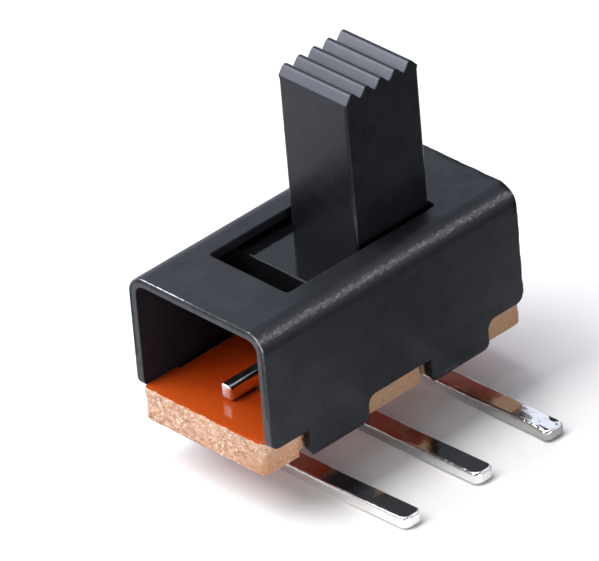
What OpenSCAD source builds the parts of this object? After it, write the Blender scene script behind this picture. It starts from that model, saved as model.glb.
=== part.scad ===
// Three-terminal slide switch with a folded sheet cover and right-angle legs.
// X runs along the slide, +X towards the knob's rest end. Z runs up to the knob.
// The legs point to -Y. The origin is on the middle leg's centre line, where it
// leaves the plane of the cover's -Y wall, which is the face that meets the board.

/* [Cover] */
// Length of the cover along the slide
cover_l = 10.6; // [10.1:0.1:12]
// Width of the cover over its two walls
cover_w = 5.72; // [5.2:0.01:6.5]
// Height of the cover's top over the underside of the base
cover_h = 4.95; // [4.5:0.05:6]
// Thickness of the cover's sheet
sheet_t = 0.3; // [0.25:0.01:0.35]
// Outside radius of the two long bends along the top
roof_bend_r = 0.67; // [0.5:0.01:0.9]
// Room between the knob and each long side of its slot
slot_room = 0.22; // [0.1:0.01:0.5]
// Corner radius of the slot
slot_r = 0.12; // [0.05:0.01:0.4]
// How far the walls reach down over the base's edge near the ends
end_lap = 0.15; // [0.05:0.01:0.4]
// How far the walls reach down over the base's edge between the tabs
mid_lap = 0.25; // [0.05:0.01:0.5]
// Corner radius at the lower corners of the walls
wall_corner_r = 0.35; // [0.1:0.01:0.6]

/* [Tabs] */
// Width of each folded tab
tab_w = 2.45; // [1.8:0.05:3]
// Distance between the two tabs of one wall, centre to centre
tab_spacing = 5.05; // [4.6:0.05:5.4]
// Radius at the lower corners of each tab
tab_corner_r = 0.45; // [0.2:0.01:0.6]
// Outside radius of the fold under the base
tab_fold_r = 0.4; // [0.38:0.01:0.5]
// Length of the folded foot, from the outside of the wall
tab_foot = 1.2; // [0.8:0.01:1.4]
// How far the folded feet stand out below the base
tab_proud = 0.16; // [0.05:0.01:0.2]

/* [Base] */
// How far each end of the base stands out of the cover
base_overhang = 0.1; // [0:0.01:0.3]
// Thickness of the base board
base_t = 1.1; // [0.9:0.05:1.4]
// Corner radius of the base board seen from above
base_corner_r = 0.2; // [0.1:0.05:0.8]
// Clearance between the base and the cover's walls, each side
base_fit = 0.01; // [0.01:0.01:0.05]
// Depth of the side notches behind the tabs
notch_depth = 0.12; // [0.1:0.01:0.2]
// Room on each side of a tab in its notch
notch_room = 0.2; // [0.1:0.01:0.3]

/* [Terminals] */
// Distance between terminals, centre to centre
pitch = 3; // [2.8:0.05:3.2]
// Thickness of the terminals' sheet
blade_t = 0.4; // [0.3:0.01:0.5]
// Width of each leg
leg_w = 0.76; // [0.6:0.01:0.9]
// Depth of the leg's centre line below the base
leg_drop = 1.25; // [1:0.05:1.6]
// Length of the leg beyond the cover's wall
leg_reach = 3.35; // [3:0.05:5]
// Corner radius at the leg's tip
tip_r = 0.25; // [0.1:0.01:0.35]
// Inside radius of the leg's right-angle bend
leg_bend_r = 0.1; // [0.1:0.01:0.5]
// Height of the terminal's head over the base
head_h = 0.57; // [0.4:0.01:0.7]
// Reach of an end terminal's head towards the switch's end, from its leg
head_outer = 1.36; // [1:0.01:1.5]
// Reach of a head towards its neighbour, from its leg
head_inner = 1.15; // [0.9:0.01:1.2]
// Radius under the end of each head
head_r = 0.2; // [0.1:0.01:0.25]
// Clearance of the leg in its slot in the base, each side
leg_fit = 0.02; // [0.01:0.01:0.05]

/* [Slider] */
// Length of the knob along the slide
knob_l = 3; // [2.5:0.05:3.4]
// Width of the knob
knob_w = 2.86; // [2.4:0.02:3]
// Height of the knob's ridges over the cover
knob_h = 5.08; // [3:0.01:6]
// Radius of the knob's upright edges
knob_edge_r = 0.12; // [0.05:0.01:0.3]
// Number of ridges across the top of the knob
ridge_count = 5; // [3:1:7]
// Height of the ridges
ridge_h = 0.28; // [0.15:0.01:0.35]
// Share of each ridge's length that its front slope takes
ridge_front_share = 0.48; // [0.3:0.01:0.7]
// Travel beyond the terminal pitch
overtravel = 0.1; // [0:0.01:0.2]
// Room between the knob and the slot's end at each end of the travel
end_play = 0.025; // [0.02:0.005:0.1]
// Length of the slider's plate
plate_l = 6.8; // [6.4:0.05:7.1]
// Thickness of the slider's plate
plate_t = 0.8; // [0.5:0.05:1]
// Small chamfer round the plate's upper ends
plate_chamfer = 0.06; // [0.03:0.01:0.1]
// Room between the plate and each wall of the cover
side_play = 0.1; // [0.05:0.01:0.15]
// Room between the plate and the underside of the cover
roof_play = 0.17; // [0.1:0.01:0.3]
// Room between the slider's feet and the base
floor_play = 0.1; // [0.05:0.01:0.2]
// Thickness of the contact housing's end walls
housing_end_t = 0.5; // [0.3:0.05:0.7]
// Thickness of the contact housing's side walls
housing_side_t = 0.43; // [0.3:0.01:0.6]
// Room between the housing and the terminals' heads
head_play = 0.3; // [0.2:0.01:0.4]

/* [Contact clip] */
// Thickness of the clip's spring sheet
clip_t = 0.15; // [0.1:0.01:0.2]
// Width of the clip over its two sides
clip_w = 1.8; // [1.6:0.05:2]
// Height of the clip
clip_h = 2.1; // [1.7:0.05:2.3]
// Width of each finger
finger_w = 0.6; // [0.4:0.05:0.8]
// Running gap between a finger and the head it slides along
finger_gap = 0.03; // [0.02:0.01:0.06]
// Outside radius of the clip's upper bends
clip_bend_r = 0.35; // [0.25:0.01:0.5]
// Radius of the rounded nose that runs along the heads
finger_nose_r = 0.25; // [0.2:0.01:0.35]
// Height of the nose over the base, as a share of the heads' height
nose_share = 0.6; // [0.5:0.05:0.8]
// Lean of the fingers inwards, from upright, in degrees
finger_lean = 35; // [30:1:42]
// Flare of the fingers' ends outwards, from upright, in degrees
finger_flare = 25; // [15:1:35]
// Clearance of the clip in the slider's pocket, each side
clip_fit = 0.02; // [0.01:0.01:0.04]

/* [Hidden] */

$fn = 48;
// Overshoot of cutting solids past the faces that they open
cut = 1;
// Points in each computed bend
bend_steps = 8;

cover_color = "#2b2c31";
board_color = "#c98a5e";
tin_color = "#d5d6d8";
moulding_color = "#26272c";
clip_color = "#cfa35c";

inner_w = cover_w - 2 * sheet_t;
roof_z = cover_h - sheet_t;
base_l = cover_l + 2 * base_overhang;
base_w = inner_w - 2 * base_fit;
end_wall_z = base_t - end_lap;
mid_wall_z = base_t - mid_lap;
tab_foot_w = tab_w - 2 * tab_corner_r;
travel = pitch + overtravel;
slot_l = knob_l + travel + 2 * end_play;
slot_w = knob_w + 2 * slot_room;
leg_z = -leg_drop;
head_top_z = base_t + head_h;
plate_top_z = roof_z - roof_play;
plate_z = plate_top_z - plate_t;
plate_w = inner_w - 2 * side_play;
knob_top_z = cover_h + knob_h;
ridge_pitch = knob_l / ridge_count;
ridge_front = ridge_front_share * ridge_pitch;
slider_x = travel / 2;
housing_z = base_t + floor_play;
clip_z = housing_z + clip_fit;
clip_top_z = clip_z + clip_h;
finger_y = blade_t / 2 + finger_gap;
finger_nose_z = base_t + nose_share * head_h;
clip_l = pitch + finger_w;
pocket_l = clip_l + 2 * clip_fit;
pocket_w = clip_w + 2 * clip_fit;
housing_l = pocket_l + 2 * housing_end_t;
housing_w = pocket_w + 2 * housing_side_t;

// Moves the switch from the centre of the base's underside to the row's origin
module placed() {
    translate([0, cover_w / 2, leg_drop]) children();
}

// Repeats its children on both sides of the XZ plane
module both_walls() {
    children();
    mirror([0, 1, 0]) children();
}

// Extrudes an outline drawn in X and Z along Y, centred on the XZ plane
module across(width) {
    translate([0, width / 2, 0]) rotate([90, 0, 0]) linear_extrude(height = width) children();
}

// Extrudes an outline drawn in Y and Z along X, centred on the YZ plane
module along(length) {
    translate([-length / 2, 0, 0])
        rotate([90, 0, 90])
            linear_extrude(height = length) children();
}

// A rectangle centred on the origin with round corners
module round_rect(size, r) {
    half = [size.x / 2 - r, size.y / 2 - r];
    square([size.x, size.y - 2 * r], center = true);
    square([size.x - 2 * r, size.y], center = true);
    for (x = [-1, 1], y = [-1, 1]) translate([x * half.x, y * half.y]) circle(r = r);
}

// A quarter of a ring whose first edge lies on +X, turned by an angle
module quarter_ring(outer_r, inner_r, turn) {
    rotate(turn) difference() {
        intersection() {
            circle(r = outer_r);
            square(outer_r);
        }
        circle(r = inner_r);
    }
}

// Points on an arc from one angle to another
function arc(centre, r, from, to) = [
    for (i = [0:bend_steps])
        let (a = from + (to - from) * i / bend_steps)
        centre + r * [cos(a), sin(a)]
];

function unit(v) = v / norm(v);
function left_of(v) = [-v.y, v.x];

// Direction of a path at one of its points, the mean of the stretches that meet there
function heading(path, i) =
    let (last = len(path) - 1)
    unit((i > 0 ? unit(path[i] - path[i - 1]) : [0, 0])
        + (i < last ? unit(path[i + 1] - path[i]) : [0, 0]));

// Outline of a strip of even thickness that has the path as its left edge
function strip(path, thickness) = concat(
    path,
    [for (i = [len(path) - 1:-1:0]) path[i] - thickness * left_of(heading(path, i))]
);

// Cover

module roof_profile() {
    bend_y = cover_w / 2 - roof_bend_r;
    bend_z = cover_h - roof_bend_r;
    translate([-bend_y, roof_z]) square([2 * bend_y, sheet_t]);
    translate([bend_y, bend_z]) quarter_ring(roof_bend_r, roof_bend_r - sheet_t, 0);
    translate([-bend_y, bend_z]) quarter_ring(roof_bend_r, roof_bend_r - sheet_t, 90);
}

// One wall's outline: its full length, the deeper stretch between the tabs, and the tabs
module wall_outline() {
    top_z = cover_h - roof_bend_r;
    corner_x = cover_l / 2 - wall_corner_r;
    corner_z = end_wall_z + wall_corner_r;
    translate([-corner_x, end_wall_z]) square([2 * corner_x, top_z - end_wall_z]);
    translate([-cover_l / 2, corner_z]) square([cover_l, top_z - corner_z]);
    for (side = [-1, 1]) translate([side * corner_x, corner_z]) circle(r = wall_corner_r);
    translate([-tab_spacing / 2, mid_wall_z]) square([tab_spacing, top_z - mid_wall_z]);
    for (side = [-1, 1]) translate([side * tab_spacing / 2, 0]) tab_outline(top_z);
}

// A tab with round lower corners, down to the underside of its fold
module tab_outline(top_z) {
    low_z = -tab_proud;
    corner_z = low_z + tab_corner_r;
    translate([-tab_w / 2, corner_z]) square([tab_w, top_z - corner_z]);
    translate([-tab_foot_w / 2, low_z]) square([tab_foot_w, top_z - low_z]);
    for (side = [-1, 1]) translate([side * tab_foot_w / 2, corner_z]) circle(r = tab_corner_r);
}

// Section of a -Y wall down to its fold, seen along X
module folded_profile() {
    wall_y = -cover_w / 2;
    bend_z = tab_fold_r - tab_proud;
    translate([wall_y, bend_z]) square([sheet_t, cover_h - roof_bend_r - bend_z]);
    translate([wall_y + tab_fold_r, bend_z]) quarter_ring(tab_fold_r, tab_fold_r - sheet_t, 180);
}

module wall() {
    intersection() {
        along(cover_l) folded_profile();
        across(2 * cover_w) wall_outline();
    }
}

// The foot of a tab, folded flat under the base
module tab_feet() {
    start_y = tab_fold_r - cover_w / 2;
    foot_l = tab_foot - tab_fold_r;
    for (side = [-1, 1])
        translate([side * tab_spacing / 2 - tab_foot_w / 2, start_y, -tab_proud])
            cube([tab_foot_w, foot_l, sheet_t]);
}

module cover() {
    color(cover_color) placed() difference() {
        union() {
            along(cover_l) roof_profile();
            both_walls() {
                wall();
                tab_feet();
            }
        }
        translate([0, 0, roof_z - cut])
            linear_extrude(height = sheet_t + 2 * cut) round_rect([slot_l, slot_w], slot_r);
    }
}

// Base

// What a tab needs at the board's edge: a side notch, and a recess for its foot
module tab_room() {
    room_w = tab_w + 2 * notch_room;
    foot_y = tab_foot - cover_w / 2 + notch_room;
    for (side = [-1, 1]) translate([side * tab_spacing / 2 - room_w / 2, 0, 0]) {
        translate([0, -base_w / 2 - cut, -cut])
            cube([room_w, notch_depth + cut, base_t + 2 * cut]);
        translate([0, -base_w / 2 - cut, -cut])
            cube([room_w, foot_y + base_w / 2 + cut, cut + sheet_t - tab_proud]);
    }
}

module base() {
    leg_slot = [leg_w + 2 * leg_fit, blade_t + 2 * leg_fit, base_t + 2 * cut];
    color(board_color) placed() difference() {
        linear_extrude(height = base_t) round_rect([base_l, base_w], base_corner_r);
        both_walls() tab_room();
        for (i = [-1:1])
            translate([i * pitch, 0, base_t / 2]) cube(leg_slot, center = true);
    }
}

// Terminals

// The head: a bar that lies on the board, rounded under both ends
module head_outline(left, right) {
    translate([head_r - left, 0]) square([left + right - 2 * head_r, head_h]);
    translate([-left, head_r]) square([left + right, head_h - head_r]);
    for (x = [head_r - left, right - head_r]) translate([x, head_r]) circle(r = head_r);
}

// Section of the leg: straight down through the board, then a right angle to -Y
module leg_profile() {
    outer_r = leg_bend_r + blade_t;
    bend = [-blade_t / 2 - leg_bend_r, leg_z + blade_t / 2 + leg_bend_r];
    tip_y = -cover_w / 2 - leg_reach;
    translate([-blade_t / 2, bend.y]) square([blade_t, base_t + head_h / 2 - bend.y]);
    translate(bend) quarter_ring(outer_r, leg_bend_r, -90);
    translate([tip_y, leg_z - blade_t / 2]) square([bend.x - tip_y, blade_t]);
}

// Plan of the leg, with its round tip corners
module leg_plan() {
    tip_y = -cover_w / 2 - leg_reach;
    translate([-leg_w / 2, tip_y + tip_r]) square([leg_w, blade_t - tip_y - tip_r]);
    translate([tip_r - leg_w / 2, tip_y]) square([leg_w - 2 * tip_r, 2 * tip_r]);
    for (side = [-1, 1]) translate([side * (leg_w / 2 - tip_r), tip_y + tip_r]) circle(r = tip_r);
}

module terminal(x, left, right) {
    color(tin_color) placed() translate([x, 0, 0]) {
        translate([0, 0, base_t]) across(blade_t) head_outline(left, right);
        intersection() {
            along(leg_w) leg_profile();
            translate([0, 0, leg_z - blade_t])
                linear_extrude(height = base_t + head_h - leg_z + blade_t) leg_plan();
        }
    }
}

module terminal_1() {
    terminal(-pitch, head_outer, head_inner);
}

module terminal_2() {
    terminal(0, head_inner, head_inner);
}

module terminal_3() {
    terminal(pitch, head_inner, head_outer);
}

// Slider

// Side view of the knob: straight sides under a row of ridges
module knob_outline() {
    valley_z = knob_top_z - ridge_h;
    ridges = [
        for (i = [0:ridge_count - 1])
            let (x = i * ridge_pitch - knob_l / 2)
            each [[x, valley_z], [x + ridge_front, knob_top_z]]
    ];
    polygon(concat(
        [[knob_l / 2, plate_z], [-knob_l / 2, plate_z]],
        ridges,
        [[knob_l / 2, valley_z]]
    ));
}

module knob() {
    intersection() {
        across(knob_w) knob_outline();
        translate([0, 0, plate_z])
            linear_extrude(height = knob_top_z - plate_z)
                round_rect([knob_l, knob_w], knob_edge_r);
    }
}

// Side view of the plate, with its upper ends chamfered
module plate_outline() {
    half = plate_l / 2;
    polygon([
        [-half, plate_z], [half, plate_z],
        [half, plate_top_z - plate_chamfer], [half - plate_chamfer, plate_top_z],
        [plate_chamfer - half, plate_top_z], [-half, plate_top_z - plate_chamfer]
    ]);
}

// Hollow under the knob that holds the clip, open downwards
module clip_pocket() {
    translate([-pocket_l / 2, -pocket_w / 2, housing_z - cut])
        cube([pocket_l, pocket_w, clip_top_z - housing_z + cut]);
}

// Channel through the housing that runs over the terminals' heads
module head_channel() {
    channel_w = blade_t + 2 * head_play;
    translate([-housing_l / 2 - cut, -channel_w / 2, housing_z - cut])
        cube([housing_l + 2 * cut, channel_w, head_top_z + head_play - housing_z + cut]);
}

module slider() {
    color(moulding_color) placed() translate([slider_x, 0, 0]) difference() {
        union() {
            knob();
            across(plate_w) plate_outline();
            translate([-housing_l / 2, -housing_w / 2, housing_z])
                cube([housing_l, housing_w, plate_z - housing_z]);
        }
        clip_pocket();
        head_channel();
    }
}

// Contact clip

// Outer edge of a finger: over the bend, down the side, in to the nose and out again
function clip_path() =
    let (
        side_y = clip_w / 2,
        bend = [side_y - clip_bend_r, clip_top_z - clip_bend_r],
        nose = [finger_y + clip_t + finger_nose_r, finger_nose_z],
        start = nose + finger_nose_r * [-cos(finger_lean), sin(finger_lean)],
        knee_z = start.y + (side_y - start.x) / tan(finger_lean)
    )
    concat(
        [[0, clip_top_z]],
        arc(bend, clip_bend_r, 90, 0),
        [[side_y, knee_z]],
        arc(nose, finger_nose_r, 180 - finger_lean, 180 + finger_flare)
    );

module finger_profile() {
    polygon(strip(clip_path(), clip_t));
}

module contact_clip() {
    color(clip_color) placed() translate([slider_x, 0, 0]) {
        along(clip_l) translate([-clip_w / 2 + clip_bend_r, clip_top_z - clip_t])
            square([clip_w - 2 * clip_bend_r, clip_t]);
        for (side = [-1, 1]) translate([side * pitch / 2, 0, 0])
            both_walls() along(finger_w) finger_profile();
    }
}

cover();
base();
terminal_1();
terminal_2();
terminal_3();
slider();
contact_clip();
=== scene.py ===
"""Dresses the slide switch: folded cover, laminate board, tinned terminals, ridged slider and clip.

Sizes are in millimetres in switch coordinates, whose origin is the centre of the board's underside:
X along the slide, Z up to the knob, legs to -Y. Everything is moved to the row frame at the end.
"""

from __future__ import annotations

import logging
from dataclasses import dataclass, field
from enum import Enum
from itertools import chain
from typing import Sequence

import bpy
import numpy as np
from mathutils import Matrix, Vector
from mathutils.geometry import delaunay_2d_cdt

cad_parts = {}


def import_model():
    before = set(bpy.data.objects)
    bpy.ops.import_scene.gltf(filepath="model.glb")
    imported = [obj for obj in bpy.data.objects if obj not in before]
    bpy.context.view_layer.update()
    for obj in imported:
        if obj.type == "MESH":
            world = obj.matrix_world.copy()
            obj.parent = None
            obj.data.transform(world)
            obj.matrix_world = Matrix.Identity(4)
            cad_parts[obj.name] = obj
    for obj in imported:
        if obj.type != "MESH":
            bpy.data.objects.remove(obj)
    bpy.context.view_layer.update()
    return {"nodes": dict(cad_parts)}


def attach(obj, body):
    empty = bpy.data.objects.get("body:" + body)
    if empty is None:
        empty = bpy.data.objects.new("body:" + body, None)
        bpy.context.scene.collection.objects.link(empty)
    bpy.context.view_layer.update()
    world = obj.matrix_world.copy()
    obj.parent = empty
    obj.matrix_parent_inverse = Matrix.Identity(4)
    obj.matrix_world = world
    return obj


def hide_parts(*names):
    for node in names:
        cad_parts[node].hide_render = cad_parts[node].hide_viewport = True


LOG = logging.getLogger("slide_switch")
MM = 0.001
TO_ROW = np.array([0.0, 2.86, 1.25])
FLOOR_Z = -0.2
WALL_Y = -2.86
TINY = 1e-12
Array = np.ndarray
Triple = tuple[float, float, float]
Tree = bpy.types.NodeTree
Node = bpy.types.Node
Socket = bpy.types.NodeSocket
Material = bpy.types.Material
Piece = bpy.types.Object


# Shapes: outlines, blanks and folds


def unit(v: Array) -> Array:
    """Rows of v at length one."""
    return v / np.maximum(np.linalg.norm(v, axis=-1, keepdims=True), TINY)


def rounded(corners: Sequence[Sequence[float]], radii: Sequence[float], steps: int = 6) -> Array:
    """A closed outline with an arc at each corner.

    Each arc's centre lies on the corner's bisector at radius over the sine of half its angle, and its
    points turn evenly from one side's tangent point to the other's.

    Args:
        corners: The outline's corners, material on the left.
        radii: Radius at each corner.
        steps: Stretches in each arc.

    Returns:
        The outline's points, without doubles.
    """
    p, r = np.asarray(corners, float), np.asarray(radii, float)[:, None]
    a, b = unit(np.roll(p, 1, 0) - p), unit(np.roll(p, -1, 0) - p)
    cos_full = np.clip((a * b).sum(1, keepdims=True), -0.9999, 0.9999)
    half = np.arccos(cos_full) / 2
    centre = p + unit(a + b) * r / np.sin(half)
    start, end = p + a * r / np.tan(half) - centre, p + b * r / np.tan(half) - centre
    turn = np.pi - 2 * half
    share = np.linspace(0, 1, steps + 1)[None, :, None]
    arcs = np.sin((1 - share) * turn[:, None]) * start[:, None] + np.sin(share * turn[:, None]) * end[:, None]
    points = (centre[:, None] + arcs / np.sin(turn)[:, None]).reshape(-1, 2)
    keep = np.linalg.norm(points - np.roll(points, 1, 0), axis=1) > 1e-5
    return points[keep]


def dense(loop: Array, step: float) -> Array:
    """The closed loop with extra points, so that no stretch is longer than step.

    Args:
        loop: The loop's points.
        step: Longest stretch.

    Returns:
        The loop's points, each side split evenly.
    """
    side = np.roll(loop, -1, 0) - loop
    count = np.maximum(np.ceil(np.linalg.norm(side, axis=1) / step - 1e-6).astype(int), 1)
    first = np.repeat(np.arange(len(loop)), count)
    rank = np.arange(count.sum()) - np.repeat(np.cumsum(count) - count, count)
    return loop[first] + side[first] * (rank / count[first])[:, None]


def outward(loop: Array) -> tuple[Array, Array]:
    """Unit normals away from the material at each point, and the lengths that keep offsets even.

    Args:
        loop: The loop's points, material on the left.

    Returns:
        Normals, and one over the cosine of half each corner's turn.
    """
    ahead = unit(np.roll(loop, -1, 0) - loop)
    mean = unit(ahead + np.roll(ahead, 1, 0))
    normal = np.stack([mean[:, 1], -mean[:, 0]], 1)
    return normal, 1 / np.clip((mean * ahead).sum(1), 0.5, 1)


def inside(points: Array, loops: Sequence[Array]) -> Array:
    """Which points a ray to +u crosses the loops from an odd number of times.

    Args:
        points: The points tested.
        loops: Outer outline and holes.

    Returns:
        One truth value for each point.
    """
    odd = np.zeros(len(points), bool)
    x, y = points[:, :1], points[:, 1:]
    for loop in loops:
        a, b = loop[None], np.roll(loop, -1, 0)[None]
        crosses = (a[..., 1] > y) != (b[..., 1] > y)
        rise = b[..., 1] - a[..., 1]
        rise = np.where(np.abs(rise) < TINY, TINY, rise)
        at = a[..., 0] + (y - a[..., 1]) / rise * (b[..., 0] - a[..., 0])
        odd ^= ((crosses & (at > x)).sum(1) % 2).astype(bool)
    return odd


@dataclass
class Skin:
    """A surface: points, their normals, a value for each point under each name, and its faces.

    The faces are arrays of point numbers, each with three or four columns.
    """

    points: Array
    normals: Array
    faces: list[Array]
    values: dict[str, Array] = field(default_factory=dict)

    def moved(self, shift: Sequence[float]) -> "Skin":
        """The same skin, moved."""
        return Skin(self.points + np.asarray(shift, float), self.normals, self.faces, dict(self.values))

    @staticmethod
    def joined(skins: Sequence["Skin"]) -> "Skin":
        """Several skins as one.

        Args:
            skins: The skins, whose value names are the same.

        Returns:
            One skin that holds them all.
        """
        start = np.cumsum([0] + [len(s.points) for s in skins])
        return Skin(
            np.concatenate([s.points for s in skins]),
            np.concatenate([s.normals for s in skins]),
            [rows + first for s, first in zip(skins, start) for rows in s.faces],
            {k: np.concatenate([s.values[k] for s in skins]) for k in skins[0].values},
        )

    def rows(self, corners: int) -> Array:
        """All faces with a given number of corners."""
        return np.concatenate([rows for rows in self.faces if rows.shape[1] == corners])


@dataclass
class Blank:
    """A flat piece of even thickness cut to an outline, with rounded edges.

    Its skin is a grid of outline point by edge station, closed above and below by faces that lie flat.
    Coordinates are u and v in the plane and w across it, from minus to plus half the thickness.
    """

    outer: Array
    thickness: float
    holes: list[Array] = field(default_factory=list)
    top_r: float | Array = 0.04
    low_r: float | Array = 0.04
    step: float = 0.12
    rows: Array | None = None
    columns: Array | None = None
    steps: int = 4

    def skin(self) -> Skin:
        """The blank's whole surface.

        An edge point at angle a stands r(1 - cos a) inside the outline, and its height falls short of
        the face by r(1 - sin a).

        Returns:
            The skin, with "edge" 1 where the surface is cut edge and 0 on the flat faces.
        """
        loops = [dense(loop, self.step) for loop in [self.outer, *self.holes]]
        sizes = [len(loop) for loop in loops]
        normal, miter = (np.concatenate(x) for x in zip(*(outward(loop) for loop in loops)))
        flat = np.concatenate(loops)
        half = self.thickness / 2
        quarter = np.linspace(0, np.pi / 2, self.steps + 1)
        angle = np.concatenate([-quarter[::-1], quarter])
        r = np.where(angle[None] < 0, np.broadcast_to(self.low_r, len(flat))[:, None],
                     np.broadcast_to(self.top_r, len(flat))[:, None])
        r[:, self.steps] = np.broadcast_to(self.low_r, len(flat))
        inset = r * (1 - np.cos(angle))
        sign = np.where(np.arange(len(angle)) <= self.steps, -1.0, 1.0)
        height = sign * (half - r * (1 - np.abs(np.sin(angle))))
        uv = flat[:, None] - normal[:, None] * (miter[:, None] * inset)[..., None]
        points = np.concatenate([uv, height[..., None]], 2).reshape(-1, 3)
        across = normal[:, None] * np.cos(angle)[None, :, None]
        up = np.broadcast_to(np.sin(angle)[None, :, None], (len(flat), len(angle), 1))
        normals = np.concatenate([across, up], 2).reshape(-1, 3)
        stations = len(angle)
        faces = self._sides(sizes, stations)
        inner = uv[:, -1]
        rims = np.split(inner, np.cumsum(sizes)[:-1])
        extra = self._inside_points(rims)
        triangles = self._flat_faces(rims, extra)
        count, base = len(flat), len(points)
        top = np.concatenate([np.arange(count) * stations + stations - 1, base + np.arange(len(extra))])
        low = np.concatenate([np.arange(count) * stations, base + len(extra) + np.arange(len(extra))])
        level = np.full((len(extra), 1), half)
        points = np.concatenate([points, np.hstack([extra, level]), np.hstack([extra, -level])])
        flat_up = np.tile([0.0, 0.0, 1.0], (len(extra), 1))
        normals = np.concatenate([normals, flat_up, -flat_up])
        edge = np.tile(np.clip(np.cos(angle) * 1.6, 0, 1), count)
        values = {"edge": np.concatenate([edge, np.zeros(2 * len(extra))])}
        faces += [top[triangles], low[triangles[:, ::-1]]]
        return Skin(points, normals, faces, values)

    @staticmethod
    def _sides(sizes: Sequence[int], stations: int) -> list[Array]:
        """Quads between neighbouring outline points and edge stations.

        Args:
            sizes: Number of points of each loop.
            stations: Number of edge stations.

        Returns:
            Each loop's quads.
        """
        quads, station = [], np.arange(stations - 1)[None]
        for size, start in zip(sizes, np.cumsum([0, *sizes])):
            here = (start + np.arange(size))[:, None] * stations + station
            there = (start + (np.arange(size) + 1) % size)[:, None] * stations + station
            quads.append(np.stack([here, there, there + 1, here + 1], -1).reshape(-1, 4))
        return quads

    def _inside_points(self, rims: Sequence[Array]) -> Array:
        """Grid points well inside the rims, on the blank's rows and columns.

        Args:
            rims: Outer rim and holes.

        Returns:
            The points, none where the blank has no grid.
        """
        if self.rows is None or self.columns is None:
            return np.zeros((0, 2))
        grid = np.stack(np.meshgrid(self.columns, self.rows), -1).reshape(-1, 2)
        grid = grid[inside(grid, rims)]
        rim = np.concatenate(rims)
        parts = np.array_split(grid, max(len(grid) // 400, 1))
        near = [np.linalg.norm(part[:, None] - rim[None], axis=2).min(axis=1) for part in parts]
        return grid[np.concatenate(near) > 0.45 * self.step]

    @staticmethod
    def _flat_faces(rims: Sequence[Array], extra: Array) -> Array:
        """Triangles that fill the rims through the extra points.

        Args:
            rims: Outer rim and holes.
            extra: Points inside.

        Returns:
            Point numbers of each triangle, counter-clockwise.
        """
        flat = np.concatenate([*rims, extra])
        ends = np.cumsum([0] + [len(r) for r in rims])
        numbers = [np.arange(a, b) for a, b in zip(ends[:-1], ends[1:])]
        sides = np.concatenate([np.stack([n, np.roll(n, -1)], 1) for n in numbers])
        _, _, faces, origin, _, _ = delaunay_2d_cdt(flat.tolist(), sides.tolist(), [], 0, 1e-7)
        number = np.array([o[0] if o else -1 for o in origin])
        triangles = number[np.array([f for f in faces if len(f) == 3])]
        triangles = triangles[(triangles >= 0).all(1)]
        triangles = triangles[inside(flat[triangles].mean(1), rims)]
        a, b, c = (flat[triangles[:, k]] for k in range(3))
        turn = (b[:, 0] - a[:, 0]) * (c[:, 1] - a[:, 1]) - (b[:, 1] - a[:, 1]) * (c[:, 0] - a[:, 0])
        triangles[turn < 0] = triangles[turn < 0][:, ::-1]
        return triangles


@dataclass(frozen=True)
class Stretch:
    """A straight run of a folded sheet's middle line, and the bend that follows it."""

    run: float
    turn: float = 0.0
    radius: float = 1.0


@dataclass
class FoldLine:
    """The middle line of a folded sheet, seen along its folds.

    Along a bend the heading turns evenly, and the point lies at the bend's radius from its centre.
    """

    start: tuple[float, float]
    heading: float
    stretches: Sequence[Stretch]

    def place(self, along: Array, lift: Array) -> tuple[Array, Array]:
        """Points at a distance along the line and a lift to its left, and the left directions.

        Args:
            along: Distance along the line.
            lift: Distance to the left of the line.

        Returns:
            Points and unit left directions, two columns each.
        """
        points, left = np.zeros((len(along), 2)), np.zeros((len(along), 2))
        at, angle, gone = np.array(self.start), np.radians(self.heading), 0.0
        for stretch in self.stretches:
            ahead = np.array([np.cos(angle), np.sin(angle)])
            here = along >= gone
            points[here] = at + (along[here] - gone)[:, None] * ahead
            left[here] = [-np.sin(angle), np.cos(angle)]
            at, gone = at + stretch.run * ahead, gone + stretch.run
            if stretch.turn:
                sign = -np.sign(stretch.turn)
                right = np.array([np.sin(angle), -np.cos(angle)])
                centre = at + sign * stretch.radius * right
                here = along >= gone
                bent = angle - sign * (along[here] - gone) / stretch.radius
                across = np.stack([np.sin(bent), -np.cos(bent)], 1)
                points[here] = centre - sign * stretch.radius * across
                left[here] = -across
                gone += stretch.radius * np.radians(abs(stretch.turn))
                angle += np.radians(stretch.turn)
                at = centre - sign * stretch.radius * np.array([np.sin(angle), -np.cos(angle)])
        return points + lift[:, None] * left, left


def lattice(seed: int, cells: Array) -> Array:
    """A fixed pseudo-random value from 0 to 1 for each whole-number cell, from a mixed-up product.

    Args:
        seed: Which noise.
        cells: Whole-number cells, three numbers each.

    Returns:
        One value for each cell.
    """
    h = cells[..., 0] * 374761393 + cells[..., 1] * 668265263 + cells[..., 2] * 2147483647 + seed * 1274126177
    h = (h ^ (h >> 13)) * 1103515245
    return ((h ^ (h >> 16)) & 0xFFFF) / 65535.0


def lumps(points: Array, cell: float | Sequence[float], seed: int) -> Array:
    """Smooth noise from -1 to 1: values at the corners of a grid of cells, blended smoothly between.

    Args:
        points: Points in millimetres.
        cell: Size of a cell, the same or one for each axis.
        seed: Which noise.

    Returns:
        One value for each point.
    """
    scaled = points / np.asarray(cell, float) + 1000.0
    low = np.floor(scaled).astype(np.int64)
    t = scaled - low
    t = t * t * (3 - 2 * t)
    total = np.zeros(len(points))
    for corner in np.ndindex(2, 2, 2):
        c = np.array(corner)
        weight = np.prod(np.where(c, t, 1 - t), axis=1)
        total += weight * lattice(seed, low + c)
    return 2 * total - 1


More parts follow.
